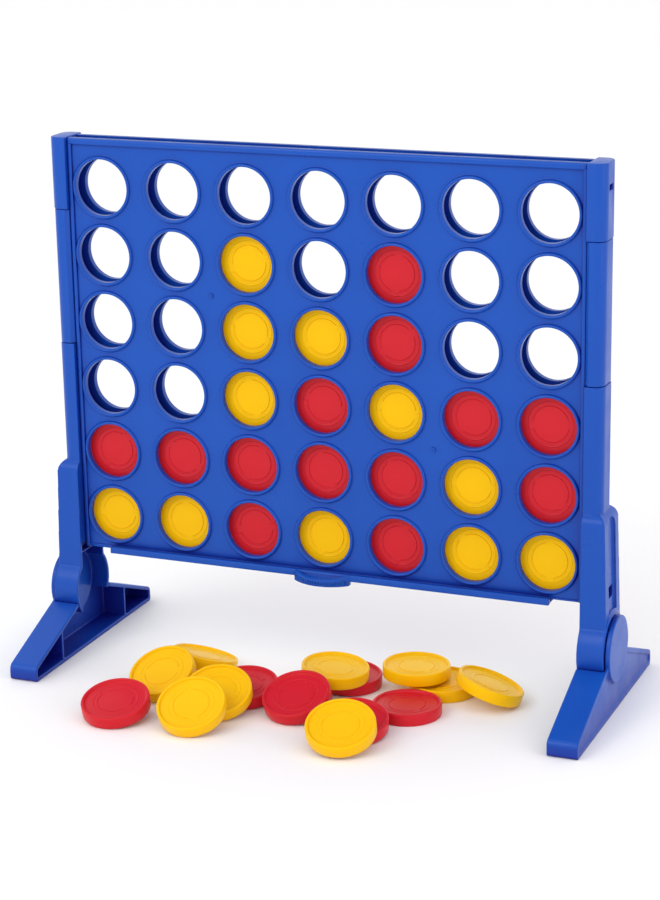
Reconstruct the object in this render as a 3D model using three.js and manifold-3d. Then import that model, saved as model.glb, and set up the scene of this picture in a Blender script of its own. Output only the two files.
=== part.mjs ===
// Giant four in a row: an upright grid of seven columns and six rows on two folding feet,
// with a release slider under the columns, the discs already played and a pile of spare discs.
// Millimetres, +Z up. X runs along the board, the players face each other along Y.

import * as THREE from 'three';
import { mergeVertices } from 'three/addons/utils/BufferGeometryUtils.js';
import Module from 'manifold-3d';

const wasm = await Module();
wasm.setup();

// ---------------------------------------------------------------- driving dimensions

const COLUMNS = 7;
const ROWS = 6;
const COLUMN_PITCH = 75;
const ROW_PITCH = 66;
const GRID_CENTRE_Z = 308;

const DISC_RADIUS = 32.8;
const DISC_THICKNESS = 12;
const DISC_SEGMENTS = 24;

const GAP = 0.3;

const PANEL_HALF_WIDTH = 259.7;
const PANEL_TOP = 520;
const PANEL_BOTTOM = 106;
const PANEL_INNER_Y = 7;
const PANEL_OUTER_Y = 12;
const HOLE_RADIUS = 28;
const HOLE_SEGMENTS = 16;

const DIVIDER_THICKNESS = 6;
const DIVIDER_TOP = 517;

const POST_INNER_X = 260;
const POST_OUTER_X = 278;
const POST_HALF_DEPTH = 18;
const POST_EDGE_RADIUS = 10;
const CAP_TOP = 521;
const CAP_SEAM_Z = 450;
const LEG_SEAM_Z = 317;

const LEG_SHOULDER_Z = 199;
const LEG_SHOULDER_RADIUS = 14;
const LEG_TOP_HALF_DEPTH = 23.3;
const LEG_FOOT_HALF_DEPTH = 24.8;
const LEG_TOP_OUTER_X = 283;
const LEG_FOOT_OUTER_X = 287;
const CHANNEL_HALF_WIDTH = 15;
const CHANNEL_DEPTH = 5;
const CHANNEL_TOP_Z = 191;
const CHANNEL_LIP_RADIUS = 38;

const HUB_Z = 62;
const KNUCKLE_RADIUS = 35;
const KNUCKLE_WALL = 4;
const KNUCKLE_WEB_X = 274;
const HUB_CHEEK_RADIUS = 32;
const HUB_BOSS_RADIUS = 10;
const SCREW_RADIUS = 3.5;
const SCREW_HEAD_RADIUS = 8;

const FOOT_HALF_LENGTH = 126;
const FOOT_TIP_HEIGHT = 8;
const FOOT_TIP_TOP_Y = 115.5;
const FOOT_TIP_TOP_Z = 14.6;
const FOOT_SLOPE = 0.391;
const FOOT_INNER_X = 260.5;
const FOOT_WEB_X = 287.3;
const FOOT_OUTER_X = 290;
const FOOT_CHEEK_X = 292.5;
const FOOT_WALL = 4;
const FOOT_RIB_Y = 68;
const KNUCKLE_CLEARANCE = 0.5;

const FINGER_HALF_WIDTH = 4;
const FINGER_TOP = 109.8;
const FINGER_ARM_TOP = 107.2;
const FINGER_BOTTOM = 104.6;
const NOTCH_TOP = FINGER_ARM_TOP + GAP;
const SLIDER_TRAVEL = COLUMN_PITCH / 2;
const RAIL_HALF_LENGTH = 229;
const RAIL_FRONT_Y = -20;
const RAIL_BACK_Y = -14.3;
const RAIL_BOTTOM = 103.8;
const RAIL_TOP = 108.3;
const THUMB_TAB_HALF_WIDTH = 28.5;
const THUMB_TAB_REACH = 11;
const THUMB_TAB_BOTTOM = 99.3;
const THUMB_TAB_LIP_TOP = 104.6;

const PIN_RADIUS = 2;
const PIN_HEAD_RADIUS = 3.6;
const PIN_HEAD_HEIGHT = 0.8;

// Played discs, one string per column from the bottom row up: R red, Y yellow.
const PLAYED = ['YR', 'YR', 'RRYYY', 'YRRY', 'RRYRR', 'YYR', 'YRR'];

// Spare discs on the ground, placed by hand: colour, x and y of the top face's centre, height
// of the lowest point, lean from flat in degrees, and the direction in which the top face
// looks, in degrees from +X towards +Y.
const SPARES = [
  ['red', -147, -178, 0, 15, -89],
  ['yellow', -132, -110, 0, 27, -104],
  ['yellow', -115, -44, 0, 17, 59],
  ['yellow', -69, -176, 0, 28, -86],
  ['yellow', -62, -132, 0, 24, -78],
  ['red', -52, -93, 0, 9, -85],
  ['red', 11, -114, 0, 21, -97],
  ['yellow', 24, -46, 12.5, 5, -10],
  ['red', 30, -27, 0, 4, -3],
  ['yellow', 80, -173, 2, 22, -80],
  ['red', 79, -138, 0, 11, -61],
  ['red', 108, -74.5, 0, 0, 0],
  ['yellow', 95, -13, 13.5, 1, 45],
  ['yellow', 121, -10, 0, 1, -70],
  ['yellow', 175, -23, 0, 21, 28],
];

const BLUE = { color: 0x1e5ac8, roughness: 0.32, metalness: 0 };
const RED = { color: 0xe1323c, roughness: 0.38, metalness: 0 };
const YELLOW = { color: 0xfdc828, roughness: 0.38, metalness: 0 };
const STEEL = { color: 0x9a9ca0, roughness: 0.3, metalness: 1 };

// ---------------------------------------------------------------- geometry helpers

const rad = THREE.MathUtils.degToRad;

function toSolid(geometry) {
  const bare = geometry.clone();
  bare.deleteAttribute('normal');
  bare.deleteAttribute('uv');
  const merged = mergeVertices(bare, 1e-4);
  return new wasm.Manifold(new wasm.Mesh({
    numProp: 3,
    vertProperties: merged.attributes.position.array,
    triVerts: new Uint32Array(merged.index.array),
  }));
}

function toGeometry(solid) {
  const mesh = solid.getMesh();
  const geometry = new THREE.BufferGeometry();
  geometry.setAttribute('position', new THREE.BufferAttribute(mesh.vertProperties, 3));
  geometry.setIndex(new THREE.BufferAttribute(mesh.triVerts, 1));
  return geometry;
}

function union(solids) {
  return solids.reduce((sum, solid) => sum.add(solid));
}

function box(x0, x1, y0, y1, z0, z1) {
  const geometry = new THREE.BoxGeometry(x1 - x0, y1 - y0, z1 - z0);
  geometry.translate((x0 + x1) / 2, (y0 + y1) / 2, (z0 + z1) / 2);
  return toSolid(geometry);
}

// The outline lies in the XY plane and rises along Z.
function alongZ(outline, z0, z1, curveSegments = 6) {
  const geometry = new THREE.ExtrudeGeometry(outline, { depth: z1 - z0, bevelEnabled: false, curveSegments });
  geometry.translate(0, 0, z0);
  return geometry;
}

// The outline's u and v are X and Z.
function alongY(outline, y0, y1, curveSegments = 6) {
  const geometry = alongZ(outline, 0, y1 - y0, curveSegments);
  geometry.rotateX(Math.PI / 2);
  geometry.translate(0, y1, 0);
  return geometry;
}

// The outline's u and v are Y and Z.
function alongX(outline, x0, x1, curveSegments = 6) {
  const geometry = alongZ(outline, 0, x1 - x0, curveSegments);
  const turn = new THREE.Matrix4().makeBasis(
    new THREE.Vector3(0, 1, 0),
    new THREE.Vector3(0, 0, 1),
    new THREE.Vector3(1, 0, 0),
  );
  geometry.applyMatrix4(turn);
  geometry.translate(x0, 0, 0);
  return geometry;
}

function polygon(points) {
  return new THREE.Shape(points.map(([u, v]) => new THREE.Vector2(u, v)));
}

function circle(u, v, radius, segments, startAngle = 0) {
  const points = [];
  for (let i = 0; i < segments; i += 1) {
    const angle = startAngle + (i / segments) * 2 * Math.PI;
    points.push([u + radius * Math.cos(angle), v + radius * Math.sin(angle)]);
  }
  return points;
}

function rodAlongX(radius, x0, x1, y, z, segments = 24) {
  return toSolid(alongX(polygon(circle(y, z, radius, segments)), x0, x1));
}

const object = new THREE.Group();

function addMesh(name, geometry, finish, parent = object) {
  const mesh = new THREE.Mesh(geometry, new THREE.MeshStandardMaterial(finish));
  mesh.name = name;
  parent.add(mesh);
  return mesh;
}

// A piece modelled on the right-hand end, and its mirror image on the left-hand end.
function addPair(name, rightSolid, finish, solidToMirror = rightSolid) {
  addMesh(`right_${name}`, toGeometry(rightSolid), finish);
  addMesh(`left_${name}`, toGeometry(solidToMirror.mirror([1, 0, 0])), finish);
}

const columnX = (column) => (column - (COLUMNS - 1) / 2) * COLUMN_PITCH;
const rowZ = (row) => GRID_CENTRE_Z + (row - (ROWS - 1) / 2) * ROW_PITCH;

// ---------------------------------------------------------------- board panels and dividers

// Pins tie the two panels together through the second and fifth dividers.
const pinPlaces = [
  { x: -1.5 * COLUMN_PITCH, z: GRID_CENTRE_Z + ROW_PITCH },
  { x: 1.5 * COLUMN_PITCH, z: GRID_CENTRE_Z - ROW_PITCH },
];

// The bottom edge has one notch per column, as long as the slider's travel.
function panelOutline() {
  const points = [];
  for (let column = 0; column < COLUMNS; column += 1) {
    const left = columnX(column) - FINGER_HALF_WIDTH - 2;
    const right = Math.min(columnX(column) + SLIDER_TRAVEL + FINGER_HALF_WIDTH + 2, PANEL_HALF_WIDTH);
    points.push([left, PANEL_BOTTOM], [left, NOTCH_TOP], [right, NOTCH_TOP]);
    if (right < PANEL_HALF_WIDTH) points.push([right, PANEL_BOTTOM]);
  }
  points.push([PANEL_HALF_WIDTH, PANEL_TOP], [-PANEL_HALF_WIDTH, PANEL_TOP], [-PANEL_HALF_WIDTH, PANEL_BOTTOM]);
  return polygon(points);
}

function panelGeometry() {
  const outline = panelOutline();
  for (let column = 0; column < COLUMNS; column += 1) {
    for (let row = 0; row < ROWS; row += 1) {
      outline.holes.push(polygon(circle(columnX(column), rowZ(row), HOLE_RADIUS, HOLE_SEGMENTS)));
    }
  }
  for (const { x, z } of pinPlaces) {
    outline.holes.push(polygon(circle(x, z, PIN_RADIUS + GAP, 8)));
  }
  return alongY(outline, PANEL_INNER_Y, PANEL_OUTER_Y);
}

const backPanel = panelGeometry();
const frontPanel = backPanel.clone();
frontPanel.translate(0, -PANEL_INNER_Y - PANEL_OUTER_Y, 0);
addMesh('front_panel', frontPanel, BLUE);
addMesh('back_panel', backPanel, BLUE);

for (let i = 1; i < COLUMNS; i += 1) {
  const x = columnX(i - 0.5);
  const half = DIVIDER_THICKNESS / 2;
  const bottom = FINGER_TOP + GAP;
  const outline = polygon([[x - half, bottom], [x + half, bottom], [x + half, DIVIDER_TOP], [x - half, DIVIDER_TOP]]);
  for (const pin of pinPlaces.filter((place) => place.x === x)) {
    outline.holes.push(polygon(circle(pin.x, pin.z, PIN_RADIUS + GAP, 8)));
  }
  addMesh(`column_divider_${i}`, alongY(outline, GAP - PANEL_INNER_Y, PANEL_INNER_Y - GAP), BLUE);
}

pinPlaces.forEach(({ x, z }, i) => {
  const headFrom = PANEL_OUTER_Y + GAP;
  const headTo = headFrom + PIN_HEAD_HEIGHT;
  const shank = toSolid(alongY(polygon(circle(x, z, PIN_RADIUS, 8)), -headFrom - 0.1, headFrom + 0.1));
  const frontHead = toSolid(alongY(polygon(circle(x, z, PIN_HEAD_RADIUS, 12)), -headTo, -headFrom));
  const backHead = toSolid(alongY(polygon(circle(x, z, PIN_HEAD_RADIUS, 12)), headFrom, headTo));
  addMesh(`panel_pin_${i + 1}`, toGeometry(union([shank, frontHead, backHead])), BLUE);
});

// ---------------------------------------------------------------- end posts and caps

// Plan of a post: flat against the panel ends, rounded on the outside.
function postPlan() {
  const plan = new THREE.Shape();
  const arcX = POST_OUTER_X - POST_EDGE_RADIUS;
  const arcY = POST_HALF_DEPTH - POST_EDGE_RADIUS;
  plan.moveTo(POST_INNER_X, -POST_HALF_DEPTH);
  plan.lineTo(arcX, -POST_HALF_DEPTH);
  plan.absarc(arcX, -arcY, POST_EDGE_RADIUS, -Math.PI / 2, 0);
  plan.absarc(arcX, arcY, POST_EDGE_RADIUS, 0, Math.PI / 2);
  plan.lineTo(POST_INNER_X, POST_HALF_DEPTH);
  plan.closePath();
  return plan;
}

const latchWindow = (z, halfHeight, fromX) => box(fromX, fromX + 20, -6, 6, z - halfHeight, z + halfHeight);

const cap = toSolid(alongZ(postPlan(), CAP_SEAM_Z + GAP, CAP_TOP)).subtract(latchWindow(497.6, 2.8, 273));
addPair('post_cap', cap, BLUE);
addPair('end_post', toSolid(alongZ(postPlan(), LEG_SEAM_Z + GAP, CAP_SEAM_Z)), BLUE);

// ---------------------------------------------------------------- legs

// Side view of the leg below the shoulder, down to the hub's height.
function legSide() {
  const side = new THREE.Shape();
  const shoulderY = LEG_TOP_HALF_DEPTH - LEG_SHOULDER_RADIUS;
  const shoulderZ = LEG_SHOULDER_Z - LEG_SHOULDER_RADIUS;
  side.moveTo(-LEG_FOOT_HALF_DEPTH, HUB_Z);
  side.lineTo(LEG_FOOT_HALF_DEPTH, HUB_Z);
  side.lineTo(LEG_TOP_HALF_DEPTH, shoulderZ);
  side.absarc(shoulderY, shoulderZ, LEG_SHOULDER_RADIUS, 0, Math.PI / 2);
  side.absarc(-shoulderY, shoulderZ, LEG_SHOULDER_RADIUS, Math.PI / 2, Math.PI);
  side.closePath();
  return side;
}

// Front view of the same stretch: the outer face flares a little towards the ground.
function legFront() {
  const front = new THREE.Shape();
  const shoulderX = LEG_TOP_OUTER_X - LEG_SHOULDER_RADIUS;
  const shoulderZ = LEG_SHOULDER_Z - LEG_SHOULDER_RADIUS;
  front.moveTo(POST_INNER_X + GAP, HUB_Z);
  front.lineTo(LEG_FOOT_OUTER_X, HUB_Z);
  front.lineTo(LEG_TOP_OUTER_X, shoulderZ);
  front.absarc(shoulderX, shoulderZ, LEG_SHOULDER_RADIUS, 0, Math.PI / 2);
  front.lineTo(POST_INNER_X + GAP, LEG_SHOULDER_Z);
  front.closePath();
  return front;
}

// Arch-topped channel in the outer face, ending below at a round lip about the hub.
function channel() {
  const outline = new THREE.Shape();
  const archZ = CHANNEL_TOP_Z - CHANNEL_HALF_WIDTH;
  const floorX = LEG_TOP_OUTER_X - CHANNEL_DEPTH;
  outline.moveTo(-CHANNEL_HALF_WIDTH, HUB_Z);
  outline.lineTo(CHANNEL_HALF_WIDTH, HUB_Z);
  outline.absarc(0, archZ, CHANNEL_HALF_WIDTH, 0, Math.PI);
  outline.closePath();
  return toSolid(alongX(outline, floorX, LEG_FOOT_OUTER_X + 5, 8))
    .subtract(rodAlongX(CHANNEL_LIP_RADIUS, floorX - 1, LEG_FOOT_OUTER_X + 6, 0, HUB_Z, 40));
}

function leg() {
  const depth = LEG_FOOT_HALF_DEPTH + 2;
  const upper = toSolid(alongZ(postPlan(), LEG_SHOULDER_Z - 20, LEG_SEAM_Z));
  const lower = toSolid(alongX(legSide(), POST_INNER_X, LEG_FOOT_OUTER_X + 1))
    .intersect(toSolid(alongY(legFront(), -depth, depth)));
  const knuckleX = FOOT_WEB_X - GAP;
  const knuckle = rodAlongX(KNUCKLE_RADIUS, FOOT_INNER_X, knuckleX, 0, HUB_Z, 40);
  // The knuckle's lower half is hollow towards the inside, with the screw's seat at its centre.
  const pocketRadius = KNUCKLE_RADIUS - KNUCKLE_WALL;
  const lowerHalf = box(FOOT_INNER_X - 5, KNUCKLE_WEB_X, -KNUCKLE_RADIUS, KNUCKLE_RADIUS, HUB_Z - 40, HUB_Z);
  const pocket = rodAlongX(pocketRadius, FOOT_INNER_X - 5, KNUCKLE_WEB_X, 0, HUB_Z, 32).intersect(lowerHalf);
  const seat = rodAlongX(SCREW_HEAD_RADIUS + 3, FOOT_INNER_X - 5, KNUCKLE_WEB_X, 0, HUB_Z);
  const bore = rodAlongX(HUB_BOSS_RADIUS + KNUCKLE_CLEARANCE, KNUCKLE_WEB_X - 1, knuckleX + 1, 0, HUB_Z);
  return union([upper, lower, knuckle])
    .subtract(channel())
    .subtract(latchWindow(117, 5.5, 270))
    .subtract(pocket)
    .subtract(seat)
    .subtract(bore);
}

const plainLeg = leg();
// The slider's end runs into this pocket when the columns are opened.
const sliderPocket = box(
  POST_INNER_X - 5,
  columnX(COLUMNS - 1) + SLIDER_TRAVEL + FINGER_HALF_WIDTH + 2,
  RAIL_FRONT_Y - 1,
  PANEL_OUTER_Y + 1,
  RAIL_BOTTOM - 1,
  FINGER_TOP + 1,
);
addPair('leg', plainLeg.subtract(sliderPocket), BLUE, plainLeg);

// ---------------------------------------------------------------- feet and pivot screws

// Side view of a foot: level sole, upright tips, two slopes that meet at the hub.
function footSide() {
  const ridgeZ = FOOT_TIP_TOP_Z + FOOT_TIP_TOP_Y * FOOT_SLOPE;
  const tip = [[FOOT_HALF_LENGTH, 1.5], [FOOT_HALF_LENGTH, FOOT_TIP_HEIGHT], [122, 12.2], [FOOT_TIP_TOP_Y, FOOT_TIP_TOP_Z]];
  const right = [[FOOT_HALF_LENGTH - 1.5, 0], ...tip];
  const left = right.map(([y, z]) => [-y, z]).reverse();
  return polygon([...right, [0, ridgeZ], ...left]);
}

// The same outline moved inwards by the wall's thickness.
function footHollow() {
  const sill = FOOT_WALL;
  const drop = FOOT_WALL * Math.hypot(1, FOOT_SLOPE);
  const ridgeZ = FOOT_TIP_TOP_Z + FOOT_TIP_TOP_Y * FOOT_SLOPE - drop;
  const tipY = FOOT_HALF_LENGTH - FOOT_WALL;
  const shoulderY = FOOT_TIP_TOP_Y - 2;
  const shoulderZ = ridgeZ - shoulderY * FOOT_SLOPE;
  return polygon([
    [-tipY, sill], [tipY, sill], [tipY, FOOT_TIP_HEIGHT - 2], [shoulderY, shoulderZ],
    [0, ridgeZ], [-shoulderY, shoulderZ], [-tipY, FOOT_TIP_HEIGHT - 2],
  ]);
}

function foot() {
  const clearRadius = KNUCKLE_RADIUS + KNUCKLE_CLEARANCE;
  const shell = toSolid(alongX(footSide(), FOOT_INNER_X, FOOT_OUTER_X));
  const hollow = toSolid(alongX(footHollow(), FOOT_INNER_X - 5, FOOT_WEB_X));
  const knuckleSpace = rodAlongX(clearRadius, FOOT_INNER_X - 5, FOOT_WEB_X, 0, HUB_Z, 40);
  const ribs = [-1, 1].map((side) => box(
    FOOT_INNER_X + 1,
    FOOT_WEB_X + 1,
    side * FOOT_RIB_Y - 1.5,
    side * FOOT_RIB_Y + 1.5,
    1,
    FOOT_TIP_TOP_Z + (FOOT_TIP_TOP_Y - FOOT_RIB_Y) * FOOT_SLOPE - 2,
  ));
  const cheek = rodAlongX(HUB_CHEEK_RADIUS, FOOT_WEB_X, FOOT_CHEEK_X, 0, HUB_Z, 32);
  const boss = rodAlongX(HUB_BOSS_RADIUS, KNUCKLE_WEB_X + 1, FOOT_WEB_X + 1, 0, HUB_Z);
  const screwHole = rodAlongX(SCREW_RADIUS + GAP, KNUCKLE_WEB_X, FOOT_OUTER_X - 1, 0, HUB_Z, 12);
  return union([shell.subtract(hollow), ...ribs])
    .subtract(knuckleSpace)
    .add(cheek)
    .add(boss)
    .subtract(screwHole);
}
addPair('foot', foot(), BLUE);

const screwHead = rodAlongX(SCREW_HEAD_RADIUS, KNUCKLE_WEB_X - 4, KNUCKLE_WEB_X - GAP, 0, HUB_Z, 16);
const screwShank = rodAlongX(SCREW_RADIUS, KNUCKLE_WEB_X - 1, FOOT_OUTER_X - 1.5, 0, HUB_Z, 12);
addPair('pivot_screw', screwHead.add(screwShank), STEEL);

// ---------------------------------------------------------------- release slider

// The thumb tab bulges forward from the middle of the rail, and its top slopes down to the front lip.
function thumbTab() {
  const half = THUMB_TAB_HALF_WIDTH;
  const radius = (half * half + THUMB_TAB_REACH * THUMB_TAB_REACH) / (2 * THUMB_TAB_REACH);
  const sweep = Math.asin(half / radius);
  const centreY = RAIL_FRONT_Y - THUMB_TAB_REACH + radius;
  const outline = new THREE.Shape();
  outline.moveTo(-half, RAIL_BACK_Y);
  outline.absarc(0, centreY, radius, -Math.PI / 2 - sweep, -Math.PI / 2 + sweep);
  outline.lineTo(half, RAIL_BACK_Y);
  outline.closePath();
  const plate = toSolid(alongZ(outline, THUMB_TAB_BOTTOM, RAIL_TOP, 12));
  const lipY = RAIL_FRONT_Y - THUMB_TAB_REACH;
  const section = polygon([
    [RAIL_BACK_Y + 1, THUMB_TAB_BOTTOM - 1], [lipY - 1, THUMB_TAB_BOTTOM - 1], [lipY - 1, THUMB_TAB_LIP_TOP],
    [lipY, THUMB_TAB_LIP_TOP], [RAIL_FRONT_Y, RAIL_TOP], [RAIL_BACK_Y + 1, RAIL_TOP],
  ]);
  return plate.intersect(toSolid(alongX(section, -half - 1, half + 1)));
}

function slider() {
  const half = RAIL_HALF_LENGTH;
  const rail = box(-half, half, RAIL_FRONT_Y, RAIL_BACK_Y, RAIL_BOTTOM, RAIL_TOP);
  const fingers = [];
  for (let column = 0; column < COLUMNS; column += 1) {
    const left = columnX(column) - FINGER_HALF_WIDTH;
    const right = columnX(column) + FINGER_HALF_WIDTH;
    fingers.push(box(left, right, RAIL_BACK_Y - 1, PANEL_OUTER_Y, FINGER_BOTTOM, FINGER_ARM_TOP));
    fingers.push(box(left, right, GAP - PANEL_INNER_Y, PANEL_INNER_Y - GAP, FINGER_BOTTOM, FINGER_TOP));
  }
  return union([rail, thumbTab(), ...fingers]);
}
addMesh('release_slider', toGeometry(slider()), BLUE);

// ---------------------------------------------------------------- discs

function discGeometry() {
  const half = DISC_THICKNESS / 2;
  const profile = [[0, -half], [DISC_RADIUS, -half], [DISC_RADIUS, half], [0, half]];
  const geometry = new THREE.LatheGeometry(profile.map(([r, h]) => new THREE.Vector2(r, h)), DISC_SEGMENTS);
  geometry.rotateX(Math.PI / 2);
  return geometry;
}

const finishOf = { red: RED, yellow: YELLOW };

PLAYED.forEach((stack, column) => {
  [...stack].forEach((letter, row) => {
    const colour = letter === 'R' ? 'red' : 'yellow';
    const disc = addMesh(`disc_column${column + 1}_row${row + 1}_${colour}`, discGeometry(), finishOf[colour]);
    disc.rotation.x = Math.PI / 2;
    disc.position.set(columnX(column), 0, rowZ(row));
  });
});

SPARES.forEach(([colour, x, y, lowest, lean, direction], i) => {
  const disc = addMesh(`spare_disc_${i + 1}_${colour}`, discGeometry(), finishOf[colour]);
  const normal = new THREE.Vector3(
    Math.sin(rad(lean)) * Math.cos(rad(direction)),
    Math.sin(rad(lean)) * Math.sin(rad(direction)),
    Math.cos(rad(lean)),
  );
  disc.quaternion.setFromUnitVectors(new THREE.Vector3(0, 0, 1), normal);
  const z = lowest + DISC_RADIUS * Math.sin(rad(lean)) + DISC_THICKNESS * Math.cos(rad(lean));
  disc.position.set(x, y, z).addScaledVector(normal, -DISC_THICKNESS / 2);
});

// The origin is the middle of the whole footprint, on the ground.
object.updateMatrixWorld(true);
const footprint = new THREE.Box3().setFromObject(object, true);
object.position.set(0, -(footprint.min.y + footprint.max.y) / 2, -footprint.min.z);
object.updateMatrixWorld(true);

export default object;
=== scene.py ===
import math

import bmesh
import bpy
from mathutils import Matrix, Vector


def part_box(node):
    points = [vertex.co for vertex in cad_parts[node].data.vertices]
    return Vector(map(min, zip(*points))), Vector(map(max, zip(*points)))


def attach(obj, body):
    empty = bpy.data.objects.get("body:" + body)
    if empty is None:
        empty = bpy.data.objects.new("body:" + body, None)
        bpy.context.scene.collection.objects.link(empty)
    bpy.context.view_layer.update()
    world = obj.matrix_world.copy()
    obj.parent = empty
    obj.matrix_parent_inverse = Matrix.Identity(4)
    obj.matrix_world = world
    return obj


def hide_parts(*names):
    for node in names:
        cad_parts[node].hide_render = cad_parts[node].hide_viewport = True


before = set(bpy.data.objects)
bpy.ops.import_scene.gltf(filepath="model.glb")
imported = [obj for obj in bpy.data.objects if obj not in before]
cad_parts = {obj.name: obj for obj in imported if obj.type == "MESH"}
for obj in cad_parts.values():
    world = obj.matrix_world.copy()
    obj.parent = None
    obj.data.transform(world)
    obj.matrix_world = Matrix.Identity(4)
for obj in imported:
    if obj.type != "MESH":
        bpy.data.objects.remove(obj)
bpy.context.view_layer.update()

MM = 0.001

# ---------------------------------------------------------------- measures, in millimetres

# The board's own frame: x 0 at its middle, y 0 at its mid-plane, z 0 on the ground.
front_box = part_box("front_panel")
back_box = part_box("back_panel")
BOARD_Y = (front_box[0][1] + back_box[1][1]) / 2

COLUMNS = 7
ROWS = 6
PITCH_X = 75.0
PITCH_Z = 66.0
GRID_Z = 308.0

PANEL_X = 259.7
PANEL_TOP = 520.0
PANEL_BOTTOM = 106.0
# The slider's arms pass below this height and its fingers below the dividers.
NOTCH_TOP = 107.5
TOOTH_TOP = 109.0
DIVIDER_BOTTOM = 110.2
DIVIDER_TOP = 517.0
PLATE_IN = 7.0
PLATE_OUT = 11.0
RIM_OUT = 14.0

# Half width of the slider's fingers, and the two ends of a notch, from the column's middle.
FINGER_HALF = 4.0
FINGER_CLEAR = 6.0
OPEN_CLEAR = 43.5

HUB_Z = 62.0


def column_x(column):
    return (column - (COLUMNS - 1) / 2) * PITCH_X


def row_z(row):
    return GRID_Z + (row - (ROWS - 1) / 2) * PITCH_Z


# ---------------------------------------------------------------- materials


def new_material(name):
    material = bpy.data.materials.new(name)
    material.use_nodes = True
    tree = material.node_tree
    return material, tree, tree.nodes["Principled BSDF"]


def add_node(tree, kind, **settings):
    node = tree.nodes.new(kind)
    for key, value in settings.items():
        setattr(node, key, value)
    return node


def noise(tree, coords, scale, detail=2.0, roughness=0.5, stretch=None):
    """A noise texture on the object's own coordinates, in metres."""
    vector = coords
    if stretch:
        mapping = add_node(tree, "ShaderNodeMapping")
        mapping.inputs["Scale"].default_value = stretch
        tree.links.new(coords, mapping.inputs["Vector"])
        vector = mapping.outputs["Vector"]
    texture = add_node(tree, "ShaderNodeTexNoise")
    texture.inputs["Scale"].default_value = scale
    texture.inputs["Detail"].default_value = detail
    texture.inputs["Roughness"].default_value = roughness
    tree.links.new(vector, texture.inputs["Vector"])
    return texture.outputs["Fac"]


def ramp(tree, fac, low, high, low_value, high_value):
    """fac from low to high gives low_value to high_value."""
    node = add_node(tree, "ShaderNodeMapRange", clamp=True)
    node.inputs["From Min"].default_value = low
    node.inputs["From Max"].default_value = high
    node.inputs["To Min"].default_value = low_value
    node.inputs["To Max"].default_value = high_value
    tree.links.new(fac, node.inputs["Value"])
    return node.outputs["Result"]


def mix_colour(tree, fac, first, second):
    node = add_node(tree, "ShaderNodeMix", data_type="RGBA")
    tree.links.new(fac, node.inputs["Factor"])
    for socket, colour in ((node.inputs[6], first), (node.inputs[7], second)):
        if hasattr(colour, "is_linked"):
            tree.links.new(colour, socket)
        else:
            socket.default_value = (*colour, 1.0)
    return node.outputs[2]


# Ambient occlusion factors over which the painted crease shade fades into the plain colour.
CREASE_SHADE_FROM, CREASE_SHADE_TO = 0.3, 0.85
GRAIN_DEPTH = 0.0004
PLASTIC_IOR = 1.49


def plastic(
    name, colour, deep, worn, crease_shade, sheen, rough=(0.26, 0.4), grain=0.05, coat=0.06, glow=0.0, reach=0.02
):
    """Moulded plastic: flow marks, painted shade darkening its creases, a fine grain, hairline scratches and
    smudged gloss.

    reach is how far, in metres, a neighbouring surface still darkens the colour with painted crease shade.
    """
    material, tree, shader = new_material(name)
    coords = add_node(tree, "ShaderNodeTexCoord").outputs["Object"]
    flow = ramp(tree, noise(tree, coords, 9.0, 3.0, 0.55, (1.0, 1.0, 0.35)), 0.3, 0.7, 0.0, 1.0)
    base = mix_colour(tree, flow, colour, deep)
    specks = ramp(tree, noise(tree, coords, 900.0, 2.0, 0.6), 0.62, 0.8, 0.0, 0.35)
    base = mix_colour(tree, specks, base, worn)
    # Painted shade: the ambient occlusion turns the colour towards the crease shade colour where
    # neighbouring surfaces crowd in.
    shade = add_node(tree, "ShaderNodeAmbientOcclusion", samples=6, only_local=glow > 0.0)
    shade.inputs["Distance"].default_value = reach
    openness = ramp(tree, shade.outputs["AO"], CREASE_SHADE_FROM, CREASE_SHADE_TO, 0.0, 1.0)
    base = mix_colour(tree, openness, crease_shade, base)
    tree.links.new(base, shader.inputs["Base Color"])
    smudge = noise(tree, coords, 28.0, 4.0, 0.6)
    tree.links.new(ramp(tree, smudge, 0.3, 0.7, *rough), shader.inputs["Roughness"])
    fine = noise(tree, coords, 1500.0, 2.0, 0.5)
    scratches = ramp(tree, noise(tree, coords, 260.0, 2.0, 0.5, (0.25, 0.25, 3.0)), 0.66, 0.7, 0.0, 1.0)
    height = add_node(tree, "ShaderNodeMath", operation="SUBTRACT")
    tree.links.new(fine, height.inputs[0])
    tree.links.new(ramp(tree, scratches, 0.0, 1.0, 0.0, 0.35), height.inputs[1])
    bump = add_node(tree, "ShaderNodeBump")
    bump.inputs["Strength"].default_value = grain
    bump.inputs["Distance"].default_value = GRAIN_DEPTH
    tree.links.new(height.outputs[0], bump.inputs["Height"])
    tree.links.new(bump.outputs["Normal"], shader.inputs["Normal"])
    shader.inputs["IOR"].default_value = PLASTIC_IOR
    shader.inputs["Specular IOR Level"].default_value = 0.26
    shader.inputs["Specular Tint"].default_value = (*sheen, 1.0)
    shader.inputs["Coat Weight"].default_value = coat
    shader.inputs["Coat Roughness"].default_value = 0.12
    if glow:
        shader.inputs["Subsurface Weight"].default_value = glow
        shader.inputs["Subsurface Radius"].default_value = (1.0, 0.45, 0.2)
        shader.inputs["Subsurface Scale"].default_value = 0.002
    return material


def steel(name):
    """Zinc-plated steel with duller patches."""
    material, tree, shader = new_material(name)
    coords = add_node(tree, "ShaderNodeTexCoord").outputs["Object"]
    patches = noise(tree, coords, 160.0, 4.0, 0.6)
    dull = ramp(tree, patches, 0.35, 0.7, 0.0, 1.0)
    base = mix_colour(tree, dull, (0.62, 0.63, 0.66), (0.42, 0.42, 0.43))
    tree.links.new(base, shader.inputs["Base Color"])
    tree.links.new(ramp(tree, patches, 0.3, 0.7, 0.22, 0.42), shader.inputs["Roughness"])
    shader.inputs["Metallic"].default_value = 1.0
    return material


# In each set the crease colour is painted shade that the plastic takes in its creases and hollows.
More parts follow.
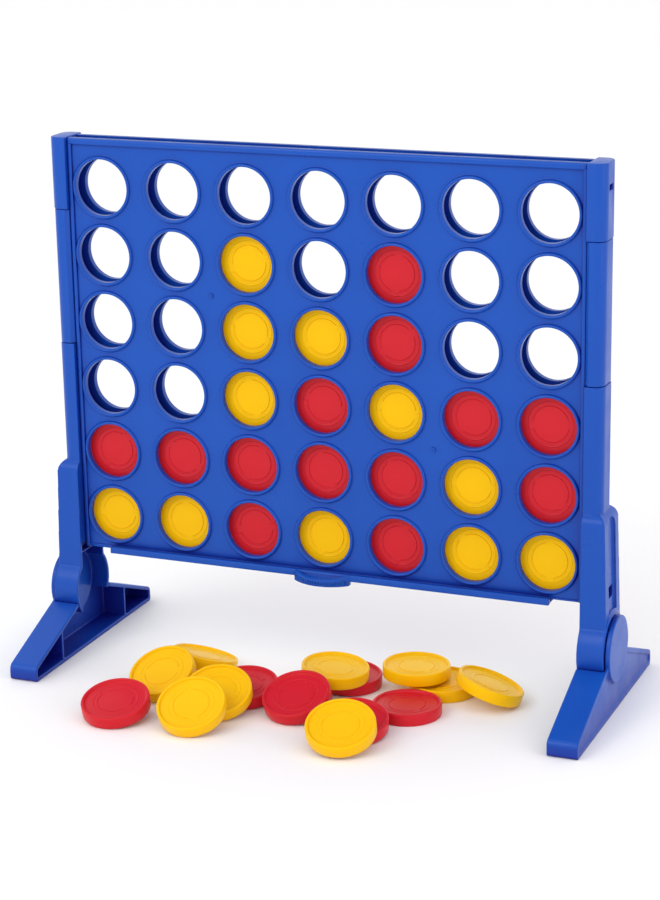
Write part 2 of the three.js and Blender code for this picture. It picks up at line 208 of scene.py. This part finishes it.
BLUES = {
    "colour": (0.003, 0.076, 0.44),
    "deep": (0.002, 0.066, 0.40),
    "worn": (0.02, 0.11, 0.52),
    "crease_shade": (0.006, 0.009, 0.23),
    "sheen": (0.95, 0.9, 1.0),
}
REDS = {
    "colour": (0.67, 0.013, 0.026),
    "deep": (0.60, 0.009, 0.020),
    "worn": (0.78, 0.05, 0.06),
    "crease_shade": (0.50, 0.004, 0.014),
    "sheen": (1.0, 0.8, 0.8),
}
YELLOWS = {
    "colour": (0.94, 0.55, 0.001),
    "deep": (0.92, 0.50, 0.001),
    "worn": (0.98, 0.64, 0.02),
    "crease_shade": (0.82, 0.32, 0.001),
    "sheen": (1.0, 0.9, 0.4),
}
DISC_FINISH = {"rough": (0.3, 0.45), "grain": 0.06, "glow": 0.05, "reach": 0.012}

blue = plastic("board_blue", **BLUES)
# Legs and feet are deep hollow mouldings, so this shaded copy of the blue has its painted crease shade reach
# further and darken their hollows.
shaded_leg_blue = plastic("shaded_leg_blue", **BLUES, reach=0.06)
red = plastic("disc_red", **REDS, **DISC_FINISH, coat=0.04)
yellow = plastic("disc_yellow", **YELLOWS, **DISC_FINISH, coat=0.02)
screw_steel = steel("screw_steel")

# ---------------------------------------------------------------- mesh helpers


def to_mesh_object(name, bm, material, sharp=38.0):
    """A bmesh in board millimetres becomes an object in the row frame, in metres."""
    bmesh.ops.recalc_face_normals(bm, faces=bm.faces[:])
    bm.transform(Matrix.Translation((0.0, BOARD_Y, 0.0)) @ Matrix.Scale(MM, 4))
    mesh = bpy.data.meshes.new(name)
    bm.to_mesh(mesh)
    bm.free()
    mesh.materials.append(material)
    mesh.shade_smooth()
    mesh.set_sharp_from_angle(angle=math.radians(sharp))
    obj = bpy.data.objects.new(name, mesh)
    bpy.context.scene.collection.objects.link(obj)
    return obj


def finish_piece(obj, body, slot, *nodes):
    """The piece stands for these CAD nodes and moves with the body. The slot is not used."""
    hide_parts(*nodes)
    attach(obj, body)


def extrude_outline(outline, low, high, axis):
    """A closed prism. The outline's two numbers are (x, y) for axis z, (y, z) for x and (x, z) for y."""
    place = {
        "z": lambda u, v, w: (u, v, w),
        "x": lambda u, v, w: (w, u, v),
        "y": lambda u, v, w: (u, w, v),
    }[axis]
    bm = bmesh.new()
    lower = [bm.verts.new(place(u, v, low)) for u, v in outline]
    upper = [bm.verts.new(place(u, v, high)) for u, v in outline]
    bm.faces.new(lower)
    bm.faces.new(upper)
    count = len(outline)
    for i in range(count):
        j = (i + 1) % count
        bm.faces.new((lower[i], lower[j], upper[j], upper[i]))
    bmesh.ops.recalc_face_normals(bm, faces=bm.faces[:])
    return bm


def circle(u, v, radius, count):
    turns = [2 * math.pi * i / count for i in range(count)]
    return [(u + radius * math.cos(turn), v + radius * math.sin(turn)) for turn in turns]


def arc(u, v, radius, start, end, count):
    """Points on an arc, angles in degrees."""
    points = []
    for i in range(count + 1):
        angle = math.radians(start + (end - start) * i / count)
        points.append((u + radius * math.cos(angle), v + radius * math.sin(angle)))
    return points


def block(x0, x1, y0, y1, z0, z1):
    """A box between two x, two y and two z places."""
    return extrude_outline([(x0, y0), (x1, y0), (x1, y1), (x0, y1)], z0, z1, "z")


def rod(radius, x0, x1, count=64):
    """A cylinder along x on the foot hinge's axis."""
    return extrude_outline(circle(0.0, HUB_Z, radius, count), x0, x1, "x")


def soften(bm, width, segments=3, angle=32.0):
    """Rounds the edges that turn by more than the angle."""
    limit = math.radians(angle)
    edges = [e for e in bm.edges if len(e.link_faces) == 2 and e.calc_face_angle(0.0) > limit]
    bmesh.ops.bevel(
        bm, geom=edges, offset=width, segments=segments, profile=0.5, affect="EDGES", clamp_overlap=True
    )
    return bm


def join(target, *others):
    """Adds the other bmeshes' shells to the target."""
    for other in others:
        mesh = bpy.data.meshes.new("part")
        other.to_mesh(mesh)
        other.free()
        target.from_mesh(mesh)
        bpy.data.meshes.remove(mesh)
    return target


def flipped(bm, axis):
    """The mirror image in the plane where that coordinate is 0."""
    scale = [1.0, 1.0, 1.0]
    scale[axis] = -1.0
    bmesh.ops.scale(bm, vec=scale, verts=bm.verts[:])
    bmesh.ops.reverse_faces(bm, faces=bm.faces[:])
    return bm


def temporary(bm):
    """A helper object for a boolean, removed again by combine."""
    mesh = bpy.data.meshes.new("temporary")
    bm.to_mesh(mesh)
    bm.free()
    obj = bpy.data.objects.new("temporary", mesh)
    bpy.context.scene.collection.objects.link(obj)
    return obj


def combine(base, steps, voxel=0.0, smooth=0):
    """Joins and cuts closed bmeshes in turn.

    With a voxel size the result is remeshed, and smoothing rounds its edges like a moulding's.
    """
    obj = temporary(base)
    helpers = []
    for operation, tool in steps:
        helper = temporary(tool)
        helpers.append(helper)
        modifier = obj.modifiers.new("step", "BOOLEAN")
        modifier.operation = operation
        modifier.solver = "EXACT"
        modifier.object = helper
    if voxel:
        remesh = obj.modifiers.new("remesh", "REMESH")
        remesh.mode = "VOXEL"
        remesh.voxel_size = voxel
        soft = obj.modifiers.new("smooth", "SMOOTH")
        soft.factor = 0.5
        soft.iterations = smooth
    graph = bpy.context.evaluated_depsgraph_get()
    mesh = bpy.data.meshes.new_from_object(obj.evaluated_get(graph))
    bm = bmesh.new()
    bm.from_mesh(mesh)
    bpy.data.meshes.remove(mesh)
    for item in (obj, *helpers):
        data = item.data
        bpy.data.objects.remove(item)
        bpy.data.meshes.remove(data)
    return bm


# ---------------------------------------------------------------- panels

# Section of the raised rim round a hole: radius, height out from the board's mid-plane.
RIM = [
    (27.4, 7.0), (27.4, 9.4), (27.4, 12.3), (27.5, 12.9), (27.75, 13.4), (28.15, 13.8), (28.65, 13.98),
    (29.2, 13.95), (29.7, 13.75), (30.1, 13.35), (30.4, 12.8), (30.6, 12.2), (30.8, 11.65), (31.1, 11.25),
    (31.5, 11.06), (32.0, 11.0),
]
AROUND = 72


def border_point(angle, left, right, low, high):
    """Where a ray from the middle meets the cell's rectangle."""
    dx, dz = math.cos(angle), math.sin(angle)
    reach = []
    if abs(dx) > 1e-9:
        reach.append((right if dx > 0 else left) / dx)
    if abs(dz) > 1e-9:
        reach.append((high if dz > 0 else low) / dz)
    step = min(reach)
    return dx * step, dz * step


def panel_cell(bm, column, row):
    """One hole with its rim, out to the cell's edges."""
    cx, cz = column_x(column), row_z(row)
    left = max(-PANEL_X, cx - PITCH_X / 2) - cx
    right = min(PANEL_X, cx + PITCH_X / 2) - cx
    low = (NOTCH_TOP if row == 0 else cz - PITCH_Z / 2) - cz
    high = (PANEL_TOP if row == ROWS - 1 else cz + PITCH_Z / 2) - cz
    angles = [2 * math.pi * i / AROUND for i in range(AROUND)]
    border = [border_point(a, left, right, low, high) for a in angles]
    for corner in ((left, low), (right, low), (right, high), (left, high)):
        turn = math.atan2(corner[1], corner[0]) % (2 * math.pi)
        nearest = min(range(AROUND), key=lambda i: abs(angles[i] - turn))
        border[nearest] = corner
        angles[nearest] = turn
    rings = []
    for radius, height in RIM:
        rings.append([
            bm.verts.new((cx + radius * math.cos(a), height, cz + radius * math.sin(a))) for a in angles
        ])
    rings.append([bm.verts.new((cx + u, PLATE_OUT, cz + v)) for u, v in border])
    inner = [bm.verts.new((cx + u, PLATE_IN, cz + v)) for u, v in border]
    for near, far in zip(rings, rings[1:]):
        for i in range(AROUND):
            j = (i + 1) % AROUND
            bm.faces.new((near[i], near[j], far[j], far[i]))
    for i in range(AROUND):
        j = (i + 1) % AROUND
        bm.faces.new((rings[0][j], rings[0][i], inner[i], inner[j]))
        ends = ((cx + border[i][0], cz + border[i][1]), (cx + border[j][0], cz + border[j][1]))
        outer_edge = any(
            all(abs(abs(end[k]) - limit) < 1e-6 for end in ends)
            for k, limit in ((0, PANEL_X), (1, PANEL_TOP), (1, NOTCH_TOP))
        )
        if outer_edge:
            bm.faces.new((rings[-1][i], rings[-1][j], inner[j], inner[i]))


# Beads, lips and teeth on a panel, as places from its middle, its mid-plane and the ground.
BEAD_BOTTOM = 513.5
LIP_IN = 255.6
LIP_TOP = 516.0
LIP_OUT = 13.4
STRIP = (8.0, 12.0, 107.6, 109.6)


def make_panel(name, side):
    bm = bmesh.new()
    for column in range(COLUMNS):
        for row in range(ROWS):
            panel_cell(bm, column, row)
    bmesh.ops.remove_doubles(bm, verts=bm.verts[:], dist=1e-4)
    bmesh.ops.recalc_face_normals(bm, faces=bm.faces[:])
    # Bead along the top, and lips down the sides. The right lip ends above the open slider's last arm.
    extras = [soften(block(-PANEL_X, PANEL_X, 8.0, RIM_OUT, BEAD_BOTTOM, PANEL_TOP), 2.2, 5)]
    for end in (-1, 1):
        lip = sorted((end * LIP_IN, end * PANEL_X))
        lip_bottom = PANEL_BOTTOM if end < 0 else NOTCH_TOP + 0.1
        extras.append(soften(block(*lip, 8.5, LIP_OUT, lip_bottom, LIP_TOP), 1.2, 4))
    # The teeth stand between the notches that the slider's arms pass through.
    edge = -PANEL_X
    for column in range(COLUMNS):
        tooth = block(edge, column_x(column) - FINGER_CLEAR, PLATE_IN, 11.6, PANEL_BOTTOM, TOOTH_TOP)
        extras.append(soften(tooth, 0.5, 2))
        edge = column_x(column) + OPEN_CLEAR
    extras.append(soften(block(-PANEL_X, PANEL_X, *STRIP), 0.6, 3))
    join(bm, *extras)
    if side < 0:
        flipped(bm, 1)
    obj = to_mesh_object(name, bm, blue)
    finish_piece(obj, "board", "blue_plastic", name)


make_panel("front_panel", -1)
make_panel("back_panel", 1)

# ---------------------------------------------------------------- dividers and panel pins

for number in range(1, COLUMNS):
    x = column_x(number - 0.5)
    wall = soften(block(x - 2.0, x + 2.0, -6.7, 6.7, DIVIDER_BOTTOM, DIVIDER_TOP), 0.8, 3)
    ribs = [
        soften(block(x - 3.0, x + 3.0, y - 1.2, y + 1.2, DIVIDER_BOTTOM + 1, DIVIDER_TOP - 1), 0.6, 2)
        for y in (-5.3, 5.3)
    ]
    obj = to_mesh_object(f"column_divider_{number}", join(wall, *ribs), blue)
    finish_piece(obj, "board", "blue_plastic", f"column_divider_{number}")


def spun(profile, count, centre, axis="y", flip=False):
    """A closed profile of (radius, height) turned about an axis through the centre."""
    bm = bmesh.new()
    rings = []
    for radius, height in profile:
        if radius < 1e-6:
            rings.append([bm.verts.new((0.0, 0.0, height))])
            continue
        rings.append([bm.verts.new((u, v, height)) for u, v in circle(0.0, 0.0, radius, count)])
    for near, far in zip(rings, rings[1:]):
        for i in range(count):
            j = (i + 1) % count
            corners = [near[i % len(near)], near[j % len(near)], far[j % len(far)], far[i % len(far)]]
            corners = list(dict.fromkeys(corners))
            if len(corners) > 2:
                bm.faces.new(corners)
    turn = Matrix.Identity(4)
    if axis == "y":
        turn = Matrix.Rotation(math.radians(-90 if flip else 90), 4, "X")
    elif axis == "x":
        turn = Matrix.Rotation(math.radians(-90 if flip else 90), 4, "Y")
    bm.transform(Matrix.Translation(centre) @ turn)
    bmesh.ops.recalc_face_normals(bm, faces=bm.faces[:])
    return bm


# Half section of a pin that goes through both panels: radius, height out from the mid-plane.
PIN_HEAD = [
    (0.0, 11.7), (0.8, 11.7), (1.1, 12.1), (1.9, 12.2), (2.4, 12.0), (2.6, 11.5), (2.6, 11.0), (2.0, 11.0),
    (2.0, 0.0), (0.0, 0.0),
]
PIN_PLACES = ((column_x(1.5), GRID_Z + PITCH_Z), (column_x(4.5), GRID_Z - PITCH_Z))
for number, (x, z) in enumerate(PIN_PLACES, 1):
    pin = join(spun(PIN_HEAD, 24, (x, 0.0, z)), spun(PIN_HEAD, 24, (x, 0.0, z), flip=True))
    obj = to_mesh_object(f"panel_pin_{number}", pin, blue)
    finish_piece(obj, "board", "blue_plastic", f"panel_pin_{number}")

# ---------------------------------------------------------------- end posts, caps and legs

# All of these are drawn for the right-hand end; the left-hand ones are their mirror images.
POST_IN = 260.0
POST_OUT = 278.0
POST_HALF = 18.0
POST_CORNER = 10.0
MIDDLE_POST = (317.5, 450.2)
CAP = (450.6, 520.8)
LEG_SLEEVE = (179.0, 317.0)

LEG_IN = 260.3
LEG_BEND = 185.0
LEG_TOP = 199.0
LEG_CORNER = 14.0
CHANNEL_HALF = 12.5
KNUCKLE_R = 34.9
KNUCKLE = (260.5, 286.7)
HOLLOW_R = 31.8
HOLLOW = (255.0, 280.0)
ROUND = 96
VOXEL = 0.7
SMOOTHING = 4


def post_plan(outer=POST_OUT, half=POST_HALF):
    """Plan of a post: square towards the board, rounded on the outside."""
    points = [(POST_IN, -half)]
    points += arc(outer - POST_CORNER, -half + POST_CORNER, POST_CORNER, -90, 0, 10)
    points += arc(outer - POST_CORNER, half - POST_CORNER, POST_CORNER, 0, 90, 10)
    points.append((POST_IN, half))
    return points


def window(z, half_height, half_width, x):
    """A latch window cut in from the outside as far as x."""
    return block(x, x + 20.0, -half_width, half_width, z - half_height, z + half_height)


def both_ends(make, name, slot="blue_plastic", material=blue, body="board"):
    """The piece on the right-hand end, and its mirror image on the left."""
    for side in ("right", "left"):
        bm = make()
        if side == "left":
            flipped(bm, 0)
        obj = to_mesh_object(f"{side}_{name}", bm, material)
        finish_piece(obj, body.format(side=side), slot, f"{side}_{name}")


def make_cap():
    shell = extrude_outline(post_plan(), *CAP, "z")
    return soften(combine(shell, [("DIFFERENCE", window(497.6, 2.7, 6.0, 273.5))]), 1.0, 3)


def make_post():
    # The inner corners are chamfered towards the panels' borders.
    plan = post_plan(277.6, 17.7)
    plan = [(POST_IN, -14.2), (263.4, -17.7), *plan[1:-1], (263.4, 17.7), (POST_IN, 14.2)]
    return soften(extrude_outline(plan, *MIDDLE_POST, "z"), 0.7, 3, 20.0)


def leg_side():
    """The leg from its outer side, above the hub."""
    return [
        (-24.8, HUB_Z), (24.8, HUB_Z), (23.3, LEG_BEND),
        *arc(9.3, LEG_BEND, LEG_CORNER, 0, 90, 10),
        *arc(-9.3, LEG_BEND, LEG_CORNER, 90, 180, 10),
    ]


def leg_front():
    """The leg from the front, above the hub."""
    return [
        (LEG_IN, HUB_Z), (KNUCKLE[1], HUB_Z), (283.0, LEG_BEND),
        *arc(269.0, LEG_BEND, LEG_CORNER, 0, 90, 10),
        (LEG_IN, LEG_TOP),
    ]


def leg_channel():
    """The shallow channel down the leg's outer side, with a floor that leans like the side itself."""
    outline = [(-CHANNEL_HALF, HUB_Z), (CHANNEL_HALF, HUB_Z), *arc(0.0, 178.0, CHANNEL_HALF, 0, 180, 24)]
    floor = [(284.2, HUB_Z), (280.2, LEG_BEND), (280.2, 200.0), (300.0, 200.0), (300.0, HUB_Z)]
    return combine(extrude_outline(outline, 270.0, 295.0, "x"), [
        ("INTERSECT", extrude_outline(floor, -30.0, 30.0, "y")),
        ("DIFFERENCE", rod(38.0, 265.0, 305.0, ROUND)),
    ])


def leg_hollow():
    """The hollow on the knuckle's inner side, open upwards into the leg and downwards to the foot."""
    return combine(rod(HOLLOW_R, *HOLLOW, ROUND), [
        ("UNION", block(*HOLLOW, -21.5, 21.5, HUB_Z, 101.0)),
        ("UNION", block(*HOLLOW, -4.0, 40.0, 20.0, 47.0)),
        ("UNION", block(*HOLLOW, -25.0, 40.0, 20.0, 41.0)),
    ])


def make_leg():
    shin = combine(extrude_outline(leg_side(), 260.0, 290.0, "x"), [
        ("INTERSECT", extrude_outline(leg_front(), -30.0, 30.0, "y")),
    ])
    screw_access = rod(2.6, 275.0, 284.0, 32)
    screw_seat = rod(8.6, 281.8, 285.6)
    hub_seat = rod(10.5, 285.4, 290.0)
    slider_way = block(255.0, 268.5, -21.0, 13.0, 102.8, 110.8)
    steps = [
        ("UNION", shin),
        ("UNION", rod(KNUCKLE_R, *KNUCKLE, ROUND)),
        ("DIFFERENCE", leg_channel()),
        ("DIFFERENCE", window(117.0, 5.5, 9.5, 270.0)),
        ("DIFFERENCE", leg_hollow()),
        ("DIFFERENCE", screw_access),
        ("DIFFERENCE", screw_seat),
        ("DIFFERENCE", hub_seat),
        ("DIFFERENCE", slider_way),
    ]
    return combine(extrude_outline(post_plan(), *LEG_SLEEVE, "z"), steps, VOXEL, SMOOTHING)


both_ends(make_cap, "post_cap")
both_ends(make_post, "end_post")
both_ends(make_leg, "leg", material=shaded_leg_blue)

# ---------------------------------------------------------------- feet and pivot screws

SLOPE = 0.391
RIDGE_Z = 19.0 + 115.5 * SLOPE
FOOT_HALF = 126.0
FOOT_SHOULDER = 114.0
FOOT_X = (260.5, 290.0)
CHEEK = (287.5, 292.3)
RIB_Y = 68.0


def foot_outline(inset=0.0):
    """Side view of a foot: level sole, rounded tips and two slopes that would meet over the hub."""
    ridge = RIDGE_Z - inset * math.hypot(1.0, SLOPE)
    end = FOOT_HALF - inset
    low_r, high_r = (0.6, 2.0) if inset else (3.2, 7.0)
    shoulder = FOOT_SHOULDER - inset / 2
    corner = end - high_r
    corner_z = ridge - corner * SLOPE - high_r * math.hypot(1.0, SLOPE)
    half = [
        *arc(end - low_r, inset + low_r, low_r, -90, 0, 6),
        *arc(corner, corner_z, high_r, 0, 68, 8),
        (shoulder, ridge - shoulder * SLOPE),
    ]
    return [*half, (0.0, ridge), *[(-y, z) for y, z in reversed(half)]]


def make_foot():
    hollow = extrude_outline(foot_outline(4.0), 250.0, 286.6, "x")
    knuckle_room = rod(35.7, 250.0, CHEEK[0], ROUND)
    recess = combine(extrude_outline(foot_outline(4.6), 288.7, 295.0, "x"), [
        ("DIFFERENCE", rod(33.0, 280.0, 296.0, ROUND)),
    ])
    steps = [("DIFFERENCE", hollow)]
    for y in (-RIB_Y, RIB_Y):
        rib = block(261.5, 288.0, y - 1.5, y + 1.5, 1.0, RIDGE_Z - RIB_Y * SLOPE - 2.0)
        steps.append(("UNION", rib))
    steps += [
        ("DIFFERENCE", knuckle_room),
        ("DIFFERENCE", recess),
        ("UNION", rod(32.0, *CHEEK, ROUND)),
        ("UNION", rod(10.0, 285.7, 288.0)),
        ("DIFFERENCE", rod(3.8, 285.0, 289.0, 32)),
    ]
    return combine(extrude_outline(foot_outline(), *FOOT_X, "x"), steps, VOXEL, SMOOTHING)


both_ends(make_foot, "foot", material=shaded_leg_blue, body="{side}_foot")

# Half section of a pivot screw: radius, distance in from its outer end.
SCREW = [
    (0.0, 0.0), (3.5, 0.0), (3.5, 3.1), (7.6, 3.1), (8.0, 3.5), (7.9, 4.4), (7.2, 5.4), (5.6, 6.3),
    (0.0, 6.4),
]
SCREW_END = 288.5
# Depth range, half length and half width of the two crossed slots.
SLOT_X = (281.0, 283.4)
SLOT_LONG = 3.6
SLOT_WIDE = 0.7


def make_screw():
    screw = spun(SCREW, 32, (SCREW_END, 0.0, HUB_Z), "x", True)
    slots = [
        block(*SLOT_X, -half_y, half_y, HUB_Z - half_z, HUB_Z + half_z)
        for half_y, half_z in ((SLOT_LONG, SLOT_WIDE), (SLOT_WIDE, SLOT_LONG))
    ]
    return combine(screw, [("DIFFERENCE", slot) for slot in slots])


both_ends(make_screw, "pivot_screw", "screw_steel", screw_steel, "{side}_foot")

# ---------------------------------------------------------------- release slider


RAIL_HALF = 229.0
RAIL_FRONT = -20.0
RAIL_BACK = -14.3
RAIL_BOTTOM = 103.8
RAIL_TOP = 110.3

TAB_HALF = 28.5
TAB_REACH = 11.0
TAB_BOTTOM = 99.3
TAB_LIP = 104.8
TAB_R = (TAB_HALF * TAB_HALF + TAB_REACH * TAB_REACH) / (2 * TAB_REACH)
TAB_SWEEP = math.degrees(math.asin(TAB_HALF / TAB_R))
TAB_CENTRE_Y = RAIL_FRONT - TAB_REACH + TAB_R
GRIPS = 21


def make_tab():
    """The thumb tab: a dished plate with a raised lip and a ribbed front."""
    curve = arc(0.0, TAB_CENTRE_Y, TAB_R, -90 - TAB_SWEEP, -90 + TAB_SWEEP, 48)
    plate = extrude_outline([(-TAB_HALF, -14.5), *curve, (TAB_HALF, -14.5)], TAB_BOTTOM, RAIL_TOP - 0.1, "z")
    section = [
        (-14.0, TAB_BOTTOM - 1), (-32.0, TAB_BOTTOM - 1), (-32.0, TAB_LIP - 0.9), (-21.2, RAIL_TOP - 3.6),
        (-20.4, RAIL_TOP - 0.8), (-19.6, RAIL_TOP), (-14.0, RAIL_TOP),
    ]
    plate = combine(plate, [("INTERSECT", extrude_outline(section, -40.0, 40.0, "x"))])
    # The lip follows the curved edge and rises with the dish towards the rail.
    ring = curve + [(x * 0.93, y + 2.4) for x, y in reversed(curve)]
    lip_section = [
        (-16.0, 101.0), (-32.0, 101.0), (-32.0, TAB_LIP + 0.6), (-20.4, RAIL_TOP - 0.4),
        (-16.0, RAIL_TOP - 0.4),
    ]
    lip = combine(extrude_outline(ring, 101.0, RAIL_TOP, "z"), [
        ("INTERSECT", extrude_outline(lip_section, -40.0, 40.0, "x")),
    ])
    pieces = [soften(plate, 0.5, 3, 25.0), soften(lip, 0.6, 3, 25.0)]
    for i in range(GRIPS):
        angle = math.radians(-90 + TAB_SWEEP * 0.92 * (2 * i / (GRIPS - 1) - 1))
        x = TAB_R * math.cos(angle)
        y = TAB_CENTRE_Y + TAB_R * math.sin(angle)
        grip = extrude_outline(circle(x, y + 0.35, 0.75, 12), TAB_BOTTOM + 0.6, TAB_LIP - 0.7, "z")
        pieces.append(soften(grip, 0.25, 2))
    return pieces


def make_slider():
    rail = soften(block(-RAIL_HALF, RAIL_HALF, RAIL_FRONT, RAIL_BACK, RAIL_BOTTOM, RAIL_TOP), 0.6, 3)
    pieces = make_tab()
    for column in range(COLUMNS):
        left, right = column_x(column) - FINGER_HALF, column_x(column) + FINGER_HALF
        pieces.append(soften(block(left, right, -16.0, 12.0, 104.6, 107.2), 0.5, 2))
        pieces.append(soften(block(left, right, -6.6, 6.6, 104.8, 109.8), 0.5, 2))
    return join(rail, *pieces)


obj = to_mesh_object("release_slider", make_slider(), blue)
finish_piece(obj, "slider", "blue_plastic", "release_slider")

# ---------------------------------------------------------------- discs

# Half section of a disc face, from the middle out: radius, height above the mid-plane.
DISC_FACE = [
    (0.0, 3.6), (6.0, 3.6), (12.0, 3.6), (16.4, 3.6), (16.8, 3.6), (17.1, 3.6), (17.4, 3.6), (17.7, 3.6),
    (18.1, 3.6), (19.4, 3.6), (20.7, 3.6), (21.1, 3.6), (21.4, 3.6), (21.7, 3.6), (22.0, 3.6), (22.4, 3.6),
    (25.6, 3.6), (27.8, 3.6), (28.6, 3.66), (29.1, 3.85), (29.4, 4.25), (29.6, 4.8), (29.8, 5.3),
    (30.05, 5.7), (30.4, 5.93), (30.9, 6.0), (31.5, 6.0), (32.1, 5.88), (32.55, 5.5), (32.8, 4.9),
]
DISC_AROUND = 144
RING_HEIGHT = 0.5
INNER_RING = (17.1, 17.4)
OUTER_RING = (21.4, 21.7)
INNER_SPAN = (14.0, 172.0)
HOOK_SPAN = (12.0, 16.5)


def on_ring(radius, ring):
    return ring[0] - 0.05 < radius < ring[1] + 0.05


def ring_mark(radius, turn):
    """Height of the thin raised marks: an outer ring, two open inner arcs, and hooks between them."""
    degrees = math.degrees(turn) % 180.0
    if on_ring(radius, OUTER_RING):
        return RING_HEIGHT * 0.7
    if on_ring(radius, INNER_RING) and INNER_SPAN[0] < degrees < INNER_SPAN[1]:
        return RING_HEIGHT
    if INNER_RING[1] < radius < OUTER_RING[0] and HOOK_SPAN[0] < degrees < HOOK_SPAN[1]:
        return RING_HEIGHT
    return 0.0


def disc_bmesh():
    lower = [(r, -h) for r, h in reversed(DISC_FACE)]
    bm = spun([*DISC_FACE, *lower], DISC_AROUND, (0.0, 0.0, 0.0), "z")
    for vert in bm.verts:
        mark = ring_mark(math.hypot(vert.co.x, vert.co.y), math.atan2(vert.co.y, vert.co.x))
        vert.co.z += math.copysign(mark, vert.co.z)
    return bm


def disc_mesh(name, material):
    bm = disc_bmesh()
    bm.transform(Matrix.Scale(MM, 4))
    mesh = bpy.data.meshes.new(name)
    bm.to_mesh(mesh)
    bm.free()
    mesh.materials.append(material)
    mesh.shade_smooth()
    mesh.set_sharp_from_angle(angle=math.radians(50))
    return mesh


disc_meshes = {"red": disc_mesh("red_disc", red), "yellow": disc_mesh("yellow_disc", yellow)}


def disc_axis(node):
    """The axis of a CAD disc, pointing up: the largest face is on a flat side."""
    flat_face = max(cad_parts[node].data.polygons, key=lambda face: face.area)
    axis = Vector(flat_face.normal)
    return -axis if axis.z < 0 else axis


# Each disc is turned by a different amount about its own axis.
SPIN_STEP = 47
discs = [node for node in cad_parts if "disc_" in node]
for index, node in enumerate(sorted(discs)):
    colour = node.rsplit("_", 1)[1]
    low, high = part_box(node)
    centre = (Vector(low) + Vector(high)) / 2
    axis = Vector((0.0, -1.0, 0.0)) if node.startswith("disc_") else disc_axis(node)
    spin = math.radians((index * SPIN_STEP) % 360)
    turn = axis.to_track_quat("Z", "Y").to_matrix().to_4x4() @ Matrix.Rotation(spin, 4, "Z")
    mesh = disc_meshes[colour].copy()
    mesh.transform(turn)
    obj = bpy.data.objects.new(node, mesh)
    obj.location = centre
    bpy.context.scene.collection.objects.link(obj)
    finish_piece(obj, node, f"{colour}_plastic", node)

# ---------------------------------------------------------------- ground, light and camera

bpy.ops.mesh.primitive_plane_add(size=30.0, location=(0.0, 8.0, 0.0))
ground = bpy.context.object
ground.name = "ground"
floor_material, _, floor_shader = new_material("ground_white")
floor_shader.inputs["Base Color"].default_value = (0.95, 0.95, 0.95, 1.0)
floor_shader.inputs["Roughness"].default_value = 0.7
floor_shader.inputs["Specular IOR Level"].default_value = 0.1
ground.data.materials.append(floor_material)

world = bpy.data.worlds.new("studio")
world.use_nodes = True
world.node_tree.nodes["Background"].inputs["Color"].default_value = (1.0, 1.0, 1.0, 1.0)
world.node_tree.nodes["Background"].inputs["Strength"].default_value = 1.05
bpy.context.scene.world = world
bpy.context.scene.view_settings.view_transform = "Standard"


def area_light(name, place, target, size, power, colour=(1.0, 1.0, 1.0)):
    light = bpy.data.lights.new(name, "AREA")
    light.shape = "RECTANGLE"
    light.size, light.size_y = size
    light.energy = power
    light.color = colour
    obj = bpy.data.objects.new(name, light)
    obj.location = place
    obj.rotation_euler = (Vector(target) - Vector(place)).to_track_quat("-Z", "Y").to_euler()
    bpy.context.scene.collection.objects.link(obj)


area_light("key", place=(-0.9, -1.9, 1.7), target=(0.0, 0.0, 0.25), size=(1.2, 1.2), power=14.0)
area_light(
    "right_side", place=(2.0, -0.5, 0.9), target=(0.2, 0.0, 0.3), size=(1.0, 1.4), power=4.5,
    colour=(1.0, 0.8, 1.0)
)

# The camera stands where the photo's perspective puts it, and looks along these angles.
AZIMUTH = math.radians(22.521)
ELEVATION = math.radians(16.464)
ROLL = math.radians(-1.052)
CAMERA_PLACE = (0.8467, BOARD_Y - 2.0344, 0.8792)
LENS = 95.67
forward = Vector((
    -math.sin(AZIMUTH) * math.cos(ELEVATION), math.cos(AZIMUTH) * math.cos(ELEVATION), -math.sin(ELEVATION)
))
level_right = Vector((math.cos(AZIMUTH), math.sin(AZIMUTH), 0.0))
level_up = level_right.cross(forward)
right = math.cos(ROLL) * level_right + math.sin(ROLL) * level_up
up = -math.sin(ROLL) * level_right + math.cos(ROLL) * level_up
camera_data = bpy.data.cameras.new("camera")
camera_data.sensor_width = 36.0
camera_data.lens = LENS
camera_data.clip_end = 100.0
camera = bpy.data.objects.new("camera", camera_data)
camera.matrix_world = Matrix((
    (right.x, up.x, -forward.x, CAMERA_PLACE[0]),
    (right.y, up.y, -forward.y, CAMERA_PLACE[1]),
    (right.z, up.z, -forward.z, CAMERA_PLACE[2]),
    (0.0, 0.0, 0.0, 1.0),
))
bpy.context.scene.collection.objects.link(camera)
bpy.context.scene.camera = camera
